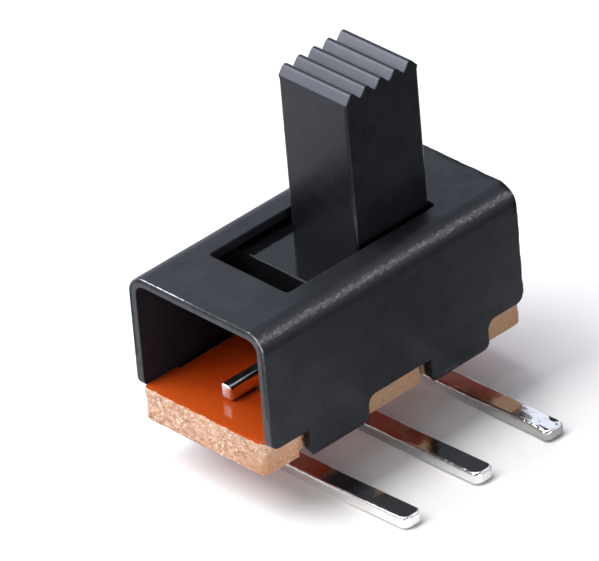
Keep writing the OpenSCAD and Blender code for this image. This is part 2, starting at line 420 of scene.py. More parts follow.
def make_piece(name: str, skin: Skin, sharp: float | None = None) -> Piece:
    """A mesh object in the row frame from a skin in switch millimetres.

    Args:
        name: The piece's name.
        skin: Its surface.
        sharp: Angle in degrees past which an edge is sharp, or None to use the skin's own normals.

    Returns:
        The object, at the origin, with its values as point attributes.
    """
    mesh = bpy.data.meshes.new(name)
    faces = list(chain.from_iterable(rows.tolist() for rows in skin.faces))
    mesh.from_pydata(((skin.points + TO_ROW) * MM).tolist(), [], faces)
    mesh.update()
    mesh.shade_smooth()
    for key, value in skin.values.items():
        layer = mesh.attributes.new(key, "FLOAT", "POINT")
        layer.data.foreach_set("value", np.asarray(value, np.float32))
    if sharp is None:
        mesh.normals_split_custom_set_from_vertices(unit(skin.normals).tolist())
    else:
        mesh.set_sharp_from_angle(angle=np.radians(sharp))
    piece = bpy.data.objects.new(name, mesh)
    bpy.context.scene.collection.objects.link(piece)
    return piece


# Shared effects


class Nodes:
    """Adds nodes to a tree and joins them, with short calls."""

    def __init__(self, tree: Tree) -> None:
        """Keeps the tree, emptied."""
        self.tree = tree
        tree.nodes.clear()

    def fill(self, node: Node, inputs: dict) -> None:
        """Sets a node's inputs by name or number, each to a socket, a number or an opaque colour.

        Args:
            node: The node.
            inputs: What each input gets, by its name or number.
        """
        for key, value in inputs.items():
            socket = node.inputs[key]
            if isinstance(value, Socket):
                self.tree.links.new(value, socket)
            else:
                socket.default_value = (*value, 1.0) if socket.type == "RGBA" else value

    def add(self, kind: str, inputs: dict | None = None, **settings: object) -> Node:
        """Adds a node.

        Args:
            kind: The node's type, without its first word.
            inputs: Values or sockets for its inputs, by name or number.
            settings: Its other properties.

        Returns:
            The node.
        """
        node = self.tree.nodes.new("ShaderNode" + kind)
        for key, value in settings.items():
            setattr(node, key, value)
        self.fill(node, inputs or {})
        return node

    def maths(self, operation: str, *values: object) -> Socket:
        """The result of a Math node."""
        return self.add("Math", dict(enumerate(values)), operation=operation).outputs[0]

    def times(self, a: object, b: object) -> Socket:
        """The product of two values."""
        return self.maths("MULTIPLY", a, b)

    def plus(self, a: object, b: object) -> Socket:
        """The sum of two values."""
        return self.maths("ADD", a, b)

    def minus(self, a: object, b: object) -> Socket:
        """The first value less the second."""
        return self.maths("SUBTRACT", a, b)

    def ramp(self, value: object, low: object, high: object, start: float = 0.0, end: float = 1.0) -> Socket:
        """The value mapped smoothly from one range to another and clamped."""
        inputs = {"Value": value, "From Min": low, "From Max": high, "To Min": start, "To Max": end}
        return self.add("MapRange", inputs, interpolation_type="SMOOTHSTEP").outputs["Result"]

    def mix(self, share: object, a: object, b: object) -> Socket:
        """The colour a turned towards b by a share."""
        return self.add("Mix", {0: share, 6: a, 7: b}, data_type="RGBA").outputs[2]

    def layered(self, color: object, *layers: tuple[Socket, object, Triple]) -> Socket:
        """A colour under thin layers, each a mask, its strength and its own colour.

        Args:
            color: The lowest colour.
            layers: The layers, lowest first.

        Returns:
            The colour on top.
        """
        for mask, strength, over in layers:
            color = self.mix(self.times(mask, strength), color, over)
        return color

    def noise(self, place: object, scale: object, detail: float, roughness: object) -> Socket:
        """Soft noise around a half."""
        inputs = {"Vector": place, "Scale": scale, "Detail": detail, "Roughness": roughness}
        return self.add("TexNoise", inputs).outputs[0]

    def stretched(self, place: Socket, scale: Triple) -> Socket:
        """The place with each axis scaled, for patterns that run one way."""
        return self.add("Mapping", {"Vector": place, "Scale": scale}).outputs[0]

    def value(self, name: str) -> Socket:
        """A piece's own point value."""
        return self.add("Attribute", attribute_name=name).outputs["Fac"]

    def bump(self, shader: Node, *heights: tuple[Socket, float]) -> None:
        """Chains bumps, each a height and its depth in metres, into the shader's normal.

        Args:
            shader: The shader.
            heights: The bumps, coarse or fine in any order.
        """
        normal = {}
        for height, depth in heights:
            node = self.add("Bump", {"Height": height, "Distance": depth, "Strength": 1.0, **normal})
            normal = {"Normal": node.outputs[0]}
        self.fill(shader, normal)


class Effect(Enum):
    """The effects that several finishes share."""

    MOTTLE = "mottle"
    SPECKS = "specks"
    EDGE_WEAR = "edge_wear"
    GRAIN = "grain"


class EffectGroups:
    """Builds each shared effect once, as a node group with one output."""

    def __init__(self) -> None:
        """Builds all of them."""
        self.groups = {effect: getattr(self, "_" + effect.value)(effect.value) for effect in Effect}

    @staticmethod
    def _new(name: str, output: str, **inputs: float) -> tuple[Nodes, dict[str, Socket], Node]:
        """An empty group with a place input, named number inputs and one number output.

        Args:
            name: The group's name.
            output: The output's name.
            inputs: Number inputs and their defaults.

        Returns:
            The group's node adder, its inputs' sockets and its output node.
        """
        tree = bpy.data.node_groups.new(name, "ShaderNodeTree")
        new, number = tree.interface.new_socket, "NodeSocketFloat"
        new("Place", in_out="INPUT", socket_type="NodeSocketVector")
        for key, value in inputs.items():
            new(key, in_out="INPUT", socket_type=number).default_value = value
        new(output, in_out="OUTPUT", socket_type=number)
        nodes = Nodes(tree)
        given = {socket.name: socket for socket in tree.nodes.new("NodeGroupInput").outputs}
        return nodes, given, tree.nodes.new("NodeGroupOutput")

    @staticmethod
    def _done(nodes: Nodes, out: Node, result: Socket) -> Tree:
        """The finished group, its result joined to its output."""
        nodes.fill(out, {0: result})
        return nodes.tree

    def _mottle(self, name: str) -> Tree:
        """Soft patches of two sizes, from 0 to 1.

        Args:
            name: The group's name.

        Returns:
            The group.
        """
        n, given, out = self._new(name, "Value", Scale=1000.0, Spread=0.2)
        big = n.noise(given["Place"], given["Scale"], 3.0, 0.6)
        small = n.noise(given["Place"], n.times(given["Scale"], 5.3), 3.0, 0.7)
        mixed = n.plus(n.times(big, 0.65), n.times(small, 0.35))
        return self._done(n, out, n.ramp(mixed, n.minus(0.5, given["Spread"]), n.plus(0.5, given["Spread"])))

    def _specks(self, name: str) -> Tree:
        """Separate specks, 1 on them and 0 between, of which only a share is kept.

        Args:
            name: The group's name.

        Returns:
            The group.
        """
        n, given, out = self._new(name, "Mask", Scale=8000.0, Size=0.25, Share=0.5)
        cell = n.add("TexVoronoi", {"Vector": given["Place"], "Scale": given["Scale"], "Randomness": 1.0})
        close = n.ramp(cell.outputs["Distance"], given["Size"], n.times(given["Size"], 0.5))
        pick = n.add("SeparateColor", {0: cell.outputs["Color"]})
        chosen = n.maths("LESS_THAN", pick.outputs[0], given["Share"])
        return self._done(n, out, n.times(close, chosen))

    def _edge_wear(self, name: str) -> Tree:
        """How far a finish is worn off: a given edge value, broken up by noise.

        Args:
            name: The group's name.

        Returns:
            The group.
        """
        n, given, out = self._new(name, "Mask", Scale=4000.0, Edge=0.0, Amount=0.5)
        noise = n.noise(given["Place"], given["Scale"], 4.0, 0.65)
        level = n.plus(given["Edge"], n.times(n.minus(noise, 0.5), 1.6))
        start = n.minus(1.0, given["Amount"])
        return self._done(n, out, n.ramp(level, start, n.plus(start, 0.45)))

    def _grain(self, name: str) -> Tree:
        """A fine height pattern with long or round grains, by the place's own stretching."""
        n, given, out = self._new(name, "Height", Scale=9000.0, Rough=0.6)
        return self._done(n, out, n.noise(given["Place"], given["Scale"], 5.0, given["Rough"]))


@dataclass(frozen=True)
class Finish:
    """Base of the finishes: starts a material with a Principled shader and the object's own place."""

    groups: EffectGroups

    @staticmethod
    def start(name: str) -> tuple[Material, Nodes, Node, Socket]:
        """A new material.

        Args:
            name: The material's name.

        Returns:
            The material, its node adder, its Principled node and the place socket.
        """
        material = bpy.data.materials.new(name)
        material.use_nodes = True
        nodes = Nodes(material.node_tree)
        shader = nodes.add("BsdfPrincipled")
        nodes.add("OutputMaterial", {0: shader.outputs[0]})
        return material, nodes, shader, nodes.add("TexCoord").outputs["Object"]

    def effect(self, nodes: Nodes, effect: Effect, place: Socket, **inputs: object) -> Socket:
        """The output of a shared effect placed in a material.

        Args:
            nodes: The material's node adder.
            effect: Which effect.
            place: The place that it is worked out for.
            inputs: Its other inputs, by name.

        Returns:
            Its output.
        """
        node = nodes.add("Group", node_tree=self.groups.groups[effect])
        nodes.fill(node, {"Place": place, **inputs})
        return node.outputs[0]


@dataclass(frozen=True)
class BlackenedSteel(Finish):
    """Thin satin black coat on pressed sheet, worn along bends and lighter at the cut ends, with painted
    highlights and painted shade on its bends and rims.
    """

    coat: tuple[Triple, Triple] = ((0.0052, 0.0053, 0.0064), (0.015, 0.0153, 0.02))
    haze: Triple = (0.015, 0.015, 0.0175)
    sheared: Triple = (0.062, 0.062, 0.067)
    # Painted shade: the near-black line below the -X end's outer rim.
    under_rim_shade: Triple = (0.004, 0.004, 0.0045)
    # Painted highlight: the colour of the band along each roof bend.
    bent: Triple = (0.07, 0.07, 0.075)
    # Painted shade: the dark parts of the end rims and the +X end's broken rim.
    ragged_rim_shade: Triple = (0.004, 0.004, 0.004)
    wear_and_sheen: Triple = (0.3, 0.3, 0.31)
    # Bare burred metal on the -X rim, brightened as painted glints.
    burr_and_glint: Triple = (0.45, 0.45, 0.46)
    sheen_tint: Triple = (0.86, 0.9, 1.0)
    shine: float = 0.24
    sheared_shine: float = 0.3
    bend_sheen_level: float = 0.13
    rough: tuple[float, float] = (0.46, 0.36)
    rubbed_metal: float = 0.5
    burr_metal: float = 0.8

    def build(self) -> Material:
        """The cover's material.

        Returns:
            The material.
        """
        material, n, shader, place = self.start("black_steel")
        mottle = self.effect(n, Effect.MOTTLE, place, Scale=900.0, Spread=0.22)
        fine = self.effect(n, Effect.MOTTLE, place, Scale=5200.0, Spread=0.25)
        along = n.stretched(place, (0.65, 1.0, 1.0))
        bend = self.effect(n, Effect.EDGE_WEAR, along, Scale=11000.0, Edge=n.value("worn"), Amount=0.44)
        flecks = self.effect(n, Effect.SPECKS, along, Scale=13000.0, Size=0.5, Share=0.55)
        bend = n.times(bend, n.ramp(flecks, 0, 1, 0.4, 1.0))
        edge = self.effect(n, Effect.EDGE_WEAR, place, Scale=5200.0, Edge=n.value("burr_and_glint"), Amount=0.55)
        cut, glow, dark = n.value("cut"), n.value("bend"), n.value("dark")
        under_rim_shade = n.ramp(n.value("under_rim_shade"), 0.4, 0.75)
        color = n.layered(
            n.mix(mottle, *self.coat),
            (fine, 0.4, self.haze),
            (cut, n.ramp(fine, 0, 1, 0.45, 0.8), self.sheared),
            # Painted shade in the line below the -X end's outer rim.
            (under_rim_shade, n.ramp(fine, 0, 1, 0.9, 0.35), self.under_rim_shade),
            # Painted highlight: a lighter band along each roof bend.
            (glow, 0.4, self.bent),
            # Painted shade on the dark parts of the end rims.
            (dark, 0.85, self.ragged_rim_shade),
            (bend, 0.6, self.wear_and_sheen),
            # Bare burred metal, brightened as painted glints.
            (edge, 0.85, self.burr_and_glint),
        )
        # The specular level also rises in the painted highlight band along the bends.
        level = n.plus(n.ramp(cut, 0, 1, self.shine, self.sheared_shine), n.times(glow, self.bend_sheen_level))
        hidden = n.maths("MAXIMUM", dark, n.times(under_rim_shade, 0.65))
        n.fill(shader, {
            "Base Color": color,
            "Metallic": n.maths("MAXIMUM", n.times(bend, self.rubbed_metal), n.times(edge, self.burr_metal)),
            "Roughness": n.minus(n.ramp(mottle, 0, 1, *self.rough), n.times(bend, 0.08)),
            "Specular IOR Level": n.times(level, n.ramp(hidden, 0, 1, 1.0, 0.25)),
            "Specular Tint": self.sheen_tint,
        })
        grain = self.effect(n, Effect.GRAIN, place, Scale=16000.0, Rough=0.6)
        wave = self.effect(n, Effect.GRAIN, place, Scale=2600.0, Rough=0.5)
        pull = n.times(self.effect(n, Effect.GRAIN, place, Scale=11000.0, Rough=0.7), glow)
        n.bump(shader, (grain, 3.5e-6), (wave, 7e-6), (pull, 9e-6))
        return material


@dataclass(frozen=True)
class PaperLaminate(Finish):
    """Glossy orange resin faces over paper layers whose punched edges are rough and tan."""

    paper: tuple[Triple, Triple] = ((0.4, 0.2, 0.115), (0.735, 0.53, 0.395))
    # Painted shade: the first resin colour, redder, is the face in the middle under the roof; the second,
    # more orange, is towards the open ends.
    resin: tuple[Triple, Triple] = ((0.45, 0.038, 0.0035), (0.46, 0.062, 0.008))
    resin_patch: Triple = (0.5, 0.072, 0.008)
    soaked: Triple = (0.72, 0.36, 0.24)
    broad: Triple = (0.8, 0.44, 0.26)
    fibre: Triple = (0.92, 0.8, 0.68)
    pit: Triple = (0.26, 0.12, 0.06)
    corner: Triple = (0.46, 0.21, 0.09)
    # Painted shade: the colour of the -Y side from the middle towards +X.
    side_shade: Triple = (0.28, 0.18, 0.105)
    resin_shade_turn: tuple[float, float] = (0.0034, 0.0051)
    chip_turn: tuple[float, float] = (0.00537, 0.0054)
    rough: tuple[float, float] = (0.12, 0.75)
    shine: float = 0.32

    def build(self) -> Material:
        """The board's material: paper where the surface is cut or chipped, and resin elsewhere.

        Returns:
            The material.
        """
        material, n, shader, place = self.start("paper_laminate")
        flat = n.stretched(place, (1.0, 1.0, 1.5))
        layers = self.effect(n, Effect.GRAIN, flat, Scale=4200.0, Rough=0.72)
        soft = self.effect(n, Effect.MOTTLE, place, Scale=1600.0, Spread=0.2)
        broad = self.effect(n, Effect.MOTTLE, place, Scale=620.0, Spread=0.12)
        pits = self.effect(n, Effect.SPECKS, flat, Scale=6500.0, Size=0.38, Share=0.15)
        fibres = self.effect(n, Effect.SPECKS, flat, Scale=7000.0, Size=0.46, Share=0.3)
        x, y, z = n.add("SeparateXYZ", {0: place}).outputs
        across = n.maths("ABSOLUTE", x)
        # The edge darker and browner towards the bottom of its -Y half.
        corner = n.times(n.ramp(y, 0.0021, 0.0006), n.ramp(z, 0.0024, 0.0014))
        # Painted shade: the -Y side of the edge darkened from the middle towards +X.
        side_shade = n.times(n.ramp(x, -0.0038, -0.0012), n.ramp(y, 0.0007, 0.0005))
        edge = n.layered(
            n.mix(n.ramp(layers, 0.35, 0.65), *self.paper),
            (soft, 0.3, self.soaked),
            (broad, 0.3, self.broad),
            (fibres, 0.7, self.fibre),
            (pits, 0.75, self.pit),
            (corner, n.ramp(layers, 0.4, 0.6, 0.3, 0.75), self.corner),
            (side_shade, 0.68, self.side_shade),
        )
        # Painted shade: the resin face redder in the middle, under the roof, and more orange towards the open
        # ends.
        face = n.mix(n.ramp(across, *self.resin_shade_turn), *self.resin)
        face = n.layered(face, (soft, 0.5, self.resin_patch))
        chipped = n.plus(across, n.times(n.minus(layers, 0.5), 0.0004))
        mask = n.maths("MAXIMUM", n.value("edge"), n.ramp(chipped, *self.chip_turn))
        n.fill(shader, {
            "Base Color": n.mix(mask, face, edge),
            "Roughness": n.ramp(mask, 0, 1, *self.rough),
            "Specular IOR Level": self.shine,
        })
        n.bump(shader, (n.times(n.minus(layers, pits), mask), 2e-5), (soft, 1e-6))
        return material


@dataclass(frozen=True)
class TinPlate(Finish):
    """Bright tin on brass sheet, with soft draw lines and small dents along the sheared edges."""

    tin: tuple[Triple, Triple] = ((0.78, 0.77, 0.75), (0.89, 0.88, 0.86))
    rough: tuple[float, float] = (0.08, 0.14)
    edge_rough: float = 0.1
    matte_rough: float = 0.4
    dent_depth: float = 2.4e-5
    line_depth: float = 3.5e-6

    def build(self) -> Material:
        """The terminals' material.

        Returns:
            The material.
        """
        material, n, shader, place = self.start("tin_plate")
        patch = self.effect(n, Effect.MOTTLE, place, Scale=1500.0, Spread=0.25)
        edge = n.value("edge")
        rough = n.plus(n.ramp(patch, 0, 1, *self.rough), n.times(edge, self.edge_rough))
        n.fill(shader, {
            "Base Color": n.mix(patch, *self.tin),
            "Metallic": 1.0,
            "Roughness": n.plus(rough, n.times(n.value("matte"), self.matte_rough)),
        })
        lines = self.effect(n, Effect.GRAIN, n.stretched(place, (1.0, 0.16, 1.0)), Scale=7000.0, Rough=0.5)
        dents = self.effect(n, Effect.GRAIN, place, Scale=3200.0, Rough=0.6)
        depth = n.times(n.ramp(edge, 0, 1, 0.3, 1.5), n.value("outside"))
        n.bump(shader, (n.times(dents, depth), self.dent_depth), (lines, self.line_depth))
        return material


@dataclass(frozen=True)
class BlackMoulding(Finish):
    """Black moulded plastic, satin, with shiny ridges, and painted highlights on the ridges and rims."""

    name: str = "black_moulding_knob"
    black: tuple[Triple, Triple] = ((0.006, 0.006, 0.0075), (0.0095, 0.0097, 0.0125))
    shine: float = 0.22
    rough: tuple[float, float] = (0.27, 0.34)
    grain_depth: float = 2e-6
    ridge_shine: tuple[float, float] = (0.46, 0.6)
    ridge_turn: tuple[float, float] = (0.0012, 0.003)
    rim_sheen_turn: tuple[float, float] = (0.0086, 0.0074)
    speck: Triple = (0.09, 0.09, 0.085)
    # Painted highlight: the lighter colour of the ridges' front slopes.
    ridge: Triple = (0.05, 0.05, 0.06)
    # Painted highlight: the light outline of the ridges' rims.
    ridge_rim_highlight: Triple = (0.16, 0.165, 0.18)
    # Painted highlight: the light line along the tops of the ridges.
    crest: Triple = (0.26, 0.27, 0.3)
    # Painted highlight: the lighter line low on the upright rims, broken up like wear.
    wear_and_sheen: Triple = (0.1, 0.1, 0.105)
    sheen_tint: Triple = (0.86, 0.9, 1.0)

    def build(self) -> Material:
        """The moulding's material, its ridges shinier towards +X.

        Returns:
            The material.
        """
        material, n, shader, place = self.start(self.name)
        mottle = self.effect(n, Effect.MOTTLE, place, Scale=1300.0, Spread=0.22)
        specks = self.effect(n, Effect.SPECKS, place, Scale=2600.0, Size=0.14, Share=0.08)
        ridge, rim = n.value("ridge"), n.ramp(n.value("rim"), 0.4, 0.95)
        x, _, z = n.add("SeparateXYZ", {0: place}).outputs
        # Painted highlight: a lighter broken line on the lower part of the upright rims.
        side = n.times(n.times(rim, n.value("upright")), n.ramp(z, *self.rim_sheen_turn))
        wear_and_sheen = self.effect(n, Effect.EDGE_WEAR, place, Scale=3000.0, Edge=side, Amount=0.35)
        color = n.layered(
            n.mix(mottle, *self.black),
            (n.times(specks, n.minus(1.0, ridge)), 0.25, self.speck),
            # Painted highlight on the ridges' front slopes.
            (ridge, 0.6, self.ridge),
            # Painted highlight line along the ridges' tops.
            (n.value("line"), 0.7, self.crest),
            # Painted highlight on the ridges' rims.
            (n.times(rim, ridge), 0.6, self.ridge_rim_highlight),
            # Painted highlight on the lower upright rims.
            (wear_and_sheen, 0.5, self.wear_and_sheen),
        )
        ridge_shine = n.ramp(x, *self.ridge_turn, *self.ridge_shine)
        n.fill(shader, {
            "Base Color": color,
            "Specular IOR Level": n.plus(self.shine, n.times(ridge, n.minus(ridge_shine, self.shine))),
            "Specular Tint": self.sheen_tint,
            "Roughness": n.ramp(mottle, 0, 1, *self.rough),
        })
        grain = self.effect(n, Effect.GRAIN, place, Scale=15000.0, Rough=0.55)
        n.bump(shader, (grain, self.grain_depth), (mottle, 1.5e-6))
        return material


@dataclass(frozen=True)
class PolishedMoulding(BlackMoulding):
    """The same plastic with the shine of a polished mould."""

    name: str = "black_moulding_plate"
    black: tuple[Triple, Triple] = ((0.0035, 0.0035, 0.0042), (0.005, 0.005, 0.0062))
    shine: float = 0.25
    rough: tuple[float, float] = (0.05, 0.1)
    grain_depth: float = 6e-7


@dataclass(frozen=True)
class SpringBronze(Finish):
    """Plain spring bronze with fine rolling lines."""

    bronze: tuple[Triple, Triple] = ((0.66, 0.42, 0.2), (0.78, 0.55, 0.3))
    rough: tuple[float, float] = (0.22, 0.34)

    def build(self) -> Material:
        """The contact clip's material.

        Returns:
            The material.
        """
        material, n, shader, place = self.start("spring_bronze")
        lines = self.effect(n, Effect.GRAIN, n.stretched(place, (0.12, 1.0, 1.0)), Scale=11000.0, Rough=0.6)
        patch = self.effect(n, Effect.MOTTLE, place, Scale=1400.0, Spread=0.25)
        n.fill(shader, {
            "Base Color": n.mix(patch, *self.bronze),
            "Metallic": 1.0,
            "Roughness": n.ramp(lines, 0.3, 0.7, *self.rough),
        })
        n.bump(shader, (lines, 3e-6))
        return material


@dataclass
class Finishes:
    """All the finishes of the switch."""

    groups: EffectGroups = field(default_factory=EffectGroups)

    def __post_init__(self) -> None:
        """Builds each material once."""
        self.steel = BlackenedSteel(self.groups).build()
        self.laminate = PaperLaminate(self.groups).build()
        self.tin = TinPlate(self.groups).build()
        self.knob = BlackMoulding(self.groups).build()
        self.plate = PolishedMoulding(self.groups).build()
        self.bronze = SpringBronze(self.groups).build()


def finish_piece(piece: Piece, body: str, slot: str, material: Material, *stands_for: str) -> None:
    """Dresses a piece and hands it to the frame.

    Args:
        piece: The piece.
        body: The body that it rides on.
        slot: Not used.
        material: Its material.
        stands_for: CAD nodes that it replaces.
    """
    piece.data.materials.append(material)
    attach(piece, body)
    if stands_for:
        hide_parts(*stands_for)
    LOG.info("%s: %d faces, rides on %s", piece.name, len(piece.data.polygons), body)


# Sub-assemblies


@dataclass
class Cover:
    """The folded sheet cover: roof, two walls and four tabs, cut flat and then bent."""

    length: float = 10.6
    width: float = 5.72
    height: float = 4.95
    sheet: float = 0.3
    roof_bend_r: float = 0.67
    tab_fold_r: float = 0.4
    tab_foot: float = 1.2
    tab_proud: float = 0.16
    tab_w: float = 2.45
    tab_at: float = 2.525
    tab_corner_r: float = 0.45
    tab_fillet: float = 0.3
    wall_corner_r: float = 0.35
    end_wall_z: float = 0.95
    mid_wall_z: float = 0.85
    slot: tuple[float, float] = (6.15, 3.3)
    slot_r: float = 0.12
    foot_r: float = 0.1
    notch_r: float = 0.03
    rim_r: tuple[float, float] = (0.05, 0.03)
    grid_step: float = 0.08
    fold_run: float = 0.3927
    foot_run: float = 1.1927
    bend_sheen_w: float = 0.17
    rub_w: float = 0.135
    rub_off: float = 0.02
    burr_low_z: float = 1.2
    ragged_deep: float = 0.03

    def line(self) -> FoldLine:
        """Half the cover's section, from the middle of the roof to the end of a foot.

        Returns:
            The line, by distance from the middle and height.
        """
        mid = self.sheet / 2
        return FoldLine((0.0, self.height - mid), 0.0, (
            Stretch(self.width / 2 - self.roof_bend_r, -90, self.roof_bend_r - mid),
            Stretch(self.height - self.roof_bend_r - (self.tab_fold_r - self.tab_proud), -90,
                    self.tab_fold_r - mid),
            Stretch(self.tab_foot - self.tab_fold_r),
        ))

    def reach(self, z: float) -> float:
        """Distance from the roof's middle to a height on the wall, along the sheet."""
        flat, bend = self.width / 2 - self.roof_bend_r, self.roof_bend_r - self.sheet / 2
        return flat + bend * np.pi / 2 + self.height - self.roof_bend_r - z

    def half_outline(self) -> tuple[list, list]:
        """Corners and radii of the blank's +v side, from +X to -X.

        Returns:
            Corner list and radius list.
        """
        end, mid = self.reach(self.end_wall_z), self.reach(self.mid_wall_z)
        half = self.tab_w / 2
        curve, foot_end = self.tab_corner()
        down = curve.tolist()
        up = (curve[::-1] * [-1, 1]).tolist()
        corners, radii = [(self.length / 2, end)], [self.wall_corner_r]
        for x, before, after in ((self.tab_at, end, mid), (-self.tab_at, mid, end)):
            foot = curve[-1, 0]
            corners += [(x + half, before), *[(x + u, v) for u, v in down], (x + foot, foot_end),
                        (x - foot, foot_end), *[(x + u, v) for u, v in up], (x - half, after)]
            arc = [0.0] * len(down)
            radii += [self.notch_r, *arc, self.foot_r, self.foot_r, *arc, self.tab_fillet]
        return corners + [(-self.length / 2, end)], radii + [self.wall_corner_r]

    def tab_corner(self) -> tuple[Array, float]:
        """A tab's lower corner on the blank: round as seen from the side once the tab is folded.

        At fold angle a the outside lies fold radius times sin a below the fold's start, and the half
        width there is that of the corner's circle at the same height.

        Returns:
            Half widths and distances along the sheet, and the distance of the foot's end.
        """
        start_z = self.tab_fold_r - self.tab_proud
        corner_z = self.tab_corner_r - self.tab_proud
        fold = self.reach(start_z)
        angle = np.linspace(0, np.pi / 2 - 0.12, 9)
        low = np.concatenate([[corner_z], start_z - self.tab_fold_r * np.sin(angle)])
        along = np.concatenate([[self.reach(corner_z)], fold + (self.tab_fold_r - self.sheet / 2) * angle])
        depth = np.clip(corner_z - low, 0, self.tab_corner_r)
        half = self.tab_w / 2 - self.tab_corner_r + np.sqrt(self.tab_corner_r ** 2 - depth ** 2)
        foot_end = fold + (self.tab_fold_r - self.sheet / 2) * np.pi / 2 + self.tab_foot - self.tab_fold_r
        return np.stack([half, along], 1), foot_end

    def blank(self) -> Blank:
        """The flat blank, with rows close together where it bends.

        Returns:
            The blank, with u along the switch and v across it.
        """
        upper, radii = self.half_outline()
        lower = [(-x, -v) for x, v in upper]
        outer = rounded(upper + lower, radii + radii, 7)
        hx, hy = self.slot[0] / 2, self.slot[1] / 2
        hole = rounded([(-hx, -hy), (-hx, hy), (hx, hy), (hx, -hy)], [self.slot_r] * 4, 5)
        flat = self.width / 2 - self.roof_bend_r
        bend = (self.roof_bend_r - self.sheet / 2) * np.pi / 2
        fold = self.reach(self.tab_fold_r - self.tab_proud)
        half = np.concatenate([
            np.linspace(0, flat, 10)[1:-1], np.linspace(flat, flat + bend, 13),
            np.linspace(flat + bend, fold, 17)[1:-1], np.linspace(fold, fold + self.fold_run, 8),
            np.linspace(fold + self.fold_run, fold + self.foot_run, 5)[1:-1],
        ])
        rows = np.concatenate([-half[::-1], [0.0], half])
        columns = np.linspace(-self.length / 2 + 0.1, self.length / 2 - 0.1, 53)
        top_r, low_r = self.rim_r
        return Blank(outer, self.sheet, [hole], top_r, low_r, self.grid_step, rows, columns)

    def folded(self) -> Skin:
        """The blank's skin bent along the section, the same way on both sides of the middle.

        Returns:
            The cover's skin, with the values of its bends and of its ends.
        """
        flat = self.blank().skin()
        x, v, w = flat.points.T
        side = np.where(v < 0, -1.0, 1.0)
        yz, left = self.line().place(np.abs(v), w)
        across = np.stack([left[:, 1], -left[:, 0]], 1)
        normal_yz = flat.normals[:, 1:2] * side[:, None] * across + flat.normals[:, 2:3] * left
        points = np.stack([x, side * yz[:, 0], yz[:, 1]], 1)
        normals = np.stack([flat.normals[:, 0], side * normal_yz[:, 0], normal_yz[:, 1]], 1)
        # How far the +X end's rim is broken away; it also sets how dark that rim is painted as shade.
        ragged_rim_shade = np.clip(0.75 + 0.9 * lumps(points, (1.0, 0.22, 0.22), 4), 0, 1)
        values = {**self.bend_values(flat), **self.end_values(flat, points, ragged_rim_shade)}
        broken = (x > self.length / 2 - 0.11) * (w > 0) * self.ragged_deep * ragged_rim_shade
        points[:, 0] -= broken * np.clip((x - self.length / 2 + 0.11) / 0.08, 0, 1)
        return Skin(points, normals, flat.faces, values)

    def bend_values(self, flat: Skin) -> dict[str, Array]:
        """The bells "bend" and "worn" along the middle of each roof bend: "bend" is a wide band of painted
        highlight and "worn" a narrow band of worn coat.

        Args:
            flat: The blank's skin.

        Returns:
            The two bands' values.
        """
        out, outside = np.abs(flat.points[:, 1]), flat.points[:, 2] > 0
        middle = self.width / 2 - self.roof_bend_r + (self.roof_bend_r - self.sheet / 2) * np.pi / 4
        return {"bend": np.exp(-((out - middle) / self.bend_sheen_w) ** 2) * outside,
                "worn": np.exp(-((out - middle - self.rub_off) / self.rub_w) ** 2) * outside}

    def end_values(self, flat: Skin, points: Array, ragged_rim_shade: Array) -> dict[str, Array]:
        """How the two sheared ends look.

        The -X end's outer rim is a bell round its rounding. Lumps and two places along the sheet share
        it out between painted glints and painted shade.

        Args:
            flat: The blank's skin.
            points: The folded cover's points.
            ragged_rim_shade: How far the +X end's rim is broken away, from 0 to 1.

        Returns:
            "cut" (the two end faces), "burr_and_glint" (bare burred metal on the -X end's outer rim,
            brightened as painted glints), "dark" (painted shade on its other parts and on the broken rim of
            the +X end) and "under_rim_shade" (painted shade in the line below that outer rim).
        """
        x, v, w = flat.points.T
        edge, up = flat.values["edge"], flat.normals[:, 2]
        near_end, far_end = x < 0.06 - self.length / 2, x > self.length / 2 - 0.11
        rim = np.exp(-((up - 0.72) / 0.3) ** 2) * (edge > 0.02) * (np.abs(v) < self.reach(self.burr_low_z))
        share = 0.38 + 0.3 * lumps(points, 0.3, 8) + 0.6 * np.exp(-((v - 1.6) / 1.1) ** 2)
        share += 0.5 * np.exp(-((v + 2.7) / 0.35) ** 2)
        share = np.clip(share + 0.4 * (v < -3.3) * np.clip(lumps(points, 0.3, 6), 0, 1), 0, 1)
        return {
            "cut": edge * (np.abs(flat.normals[:, 0]) > 0.3) * (np.abs(x) > self.length / 2 - 0.06),
            "burr_and_glint": rim * near_end * share,
            "dark": rim * near_end * np.clip(0.75 - share, 0, 1)
            + far_end * (w > 0) * ragged_rim_shade * (np.abs(v) < 3.2),
            "under_rim_shade": 1.0 * near_end * (w > 0) * (edge > 0.99) * (up < 0.01) * (np.abs(v) < 5.2),
        }

    def build(self, finishes: Finishes) -> Piece:
        """Makes the cover and dresses it.

        Args:
            finishes: The finishes.

        Returns:
            The piece.
        """
        piece = make_piece("folded_cover", self.folded())
        finish_piece(piece, "housing", "black_steel", finishes.steel, "cover")
        return piece


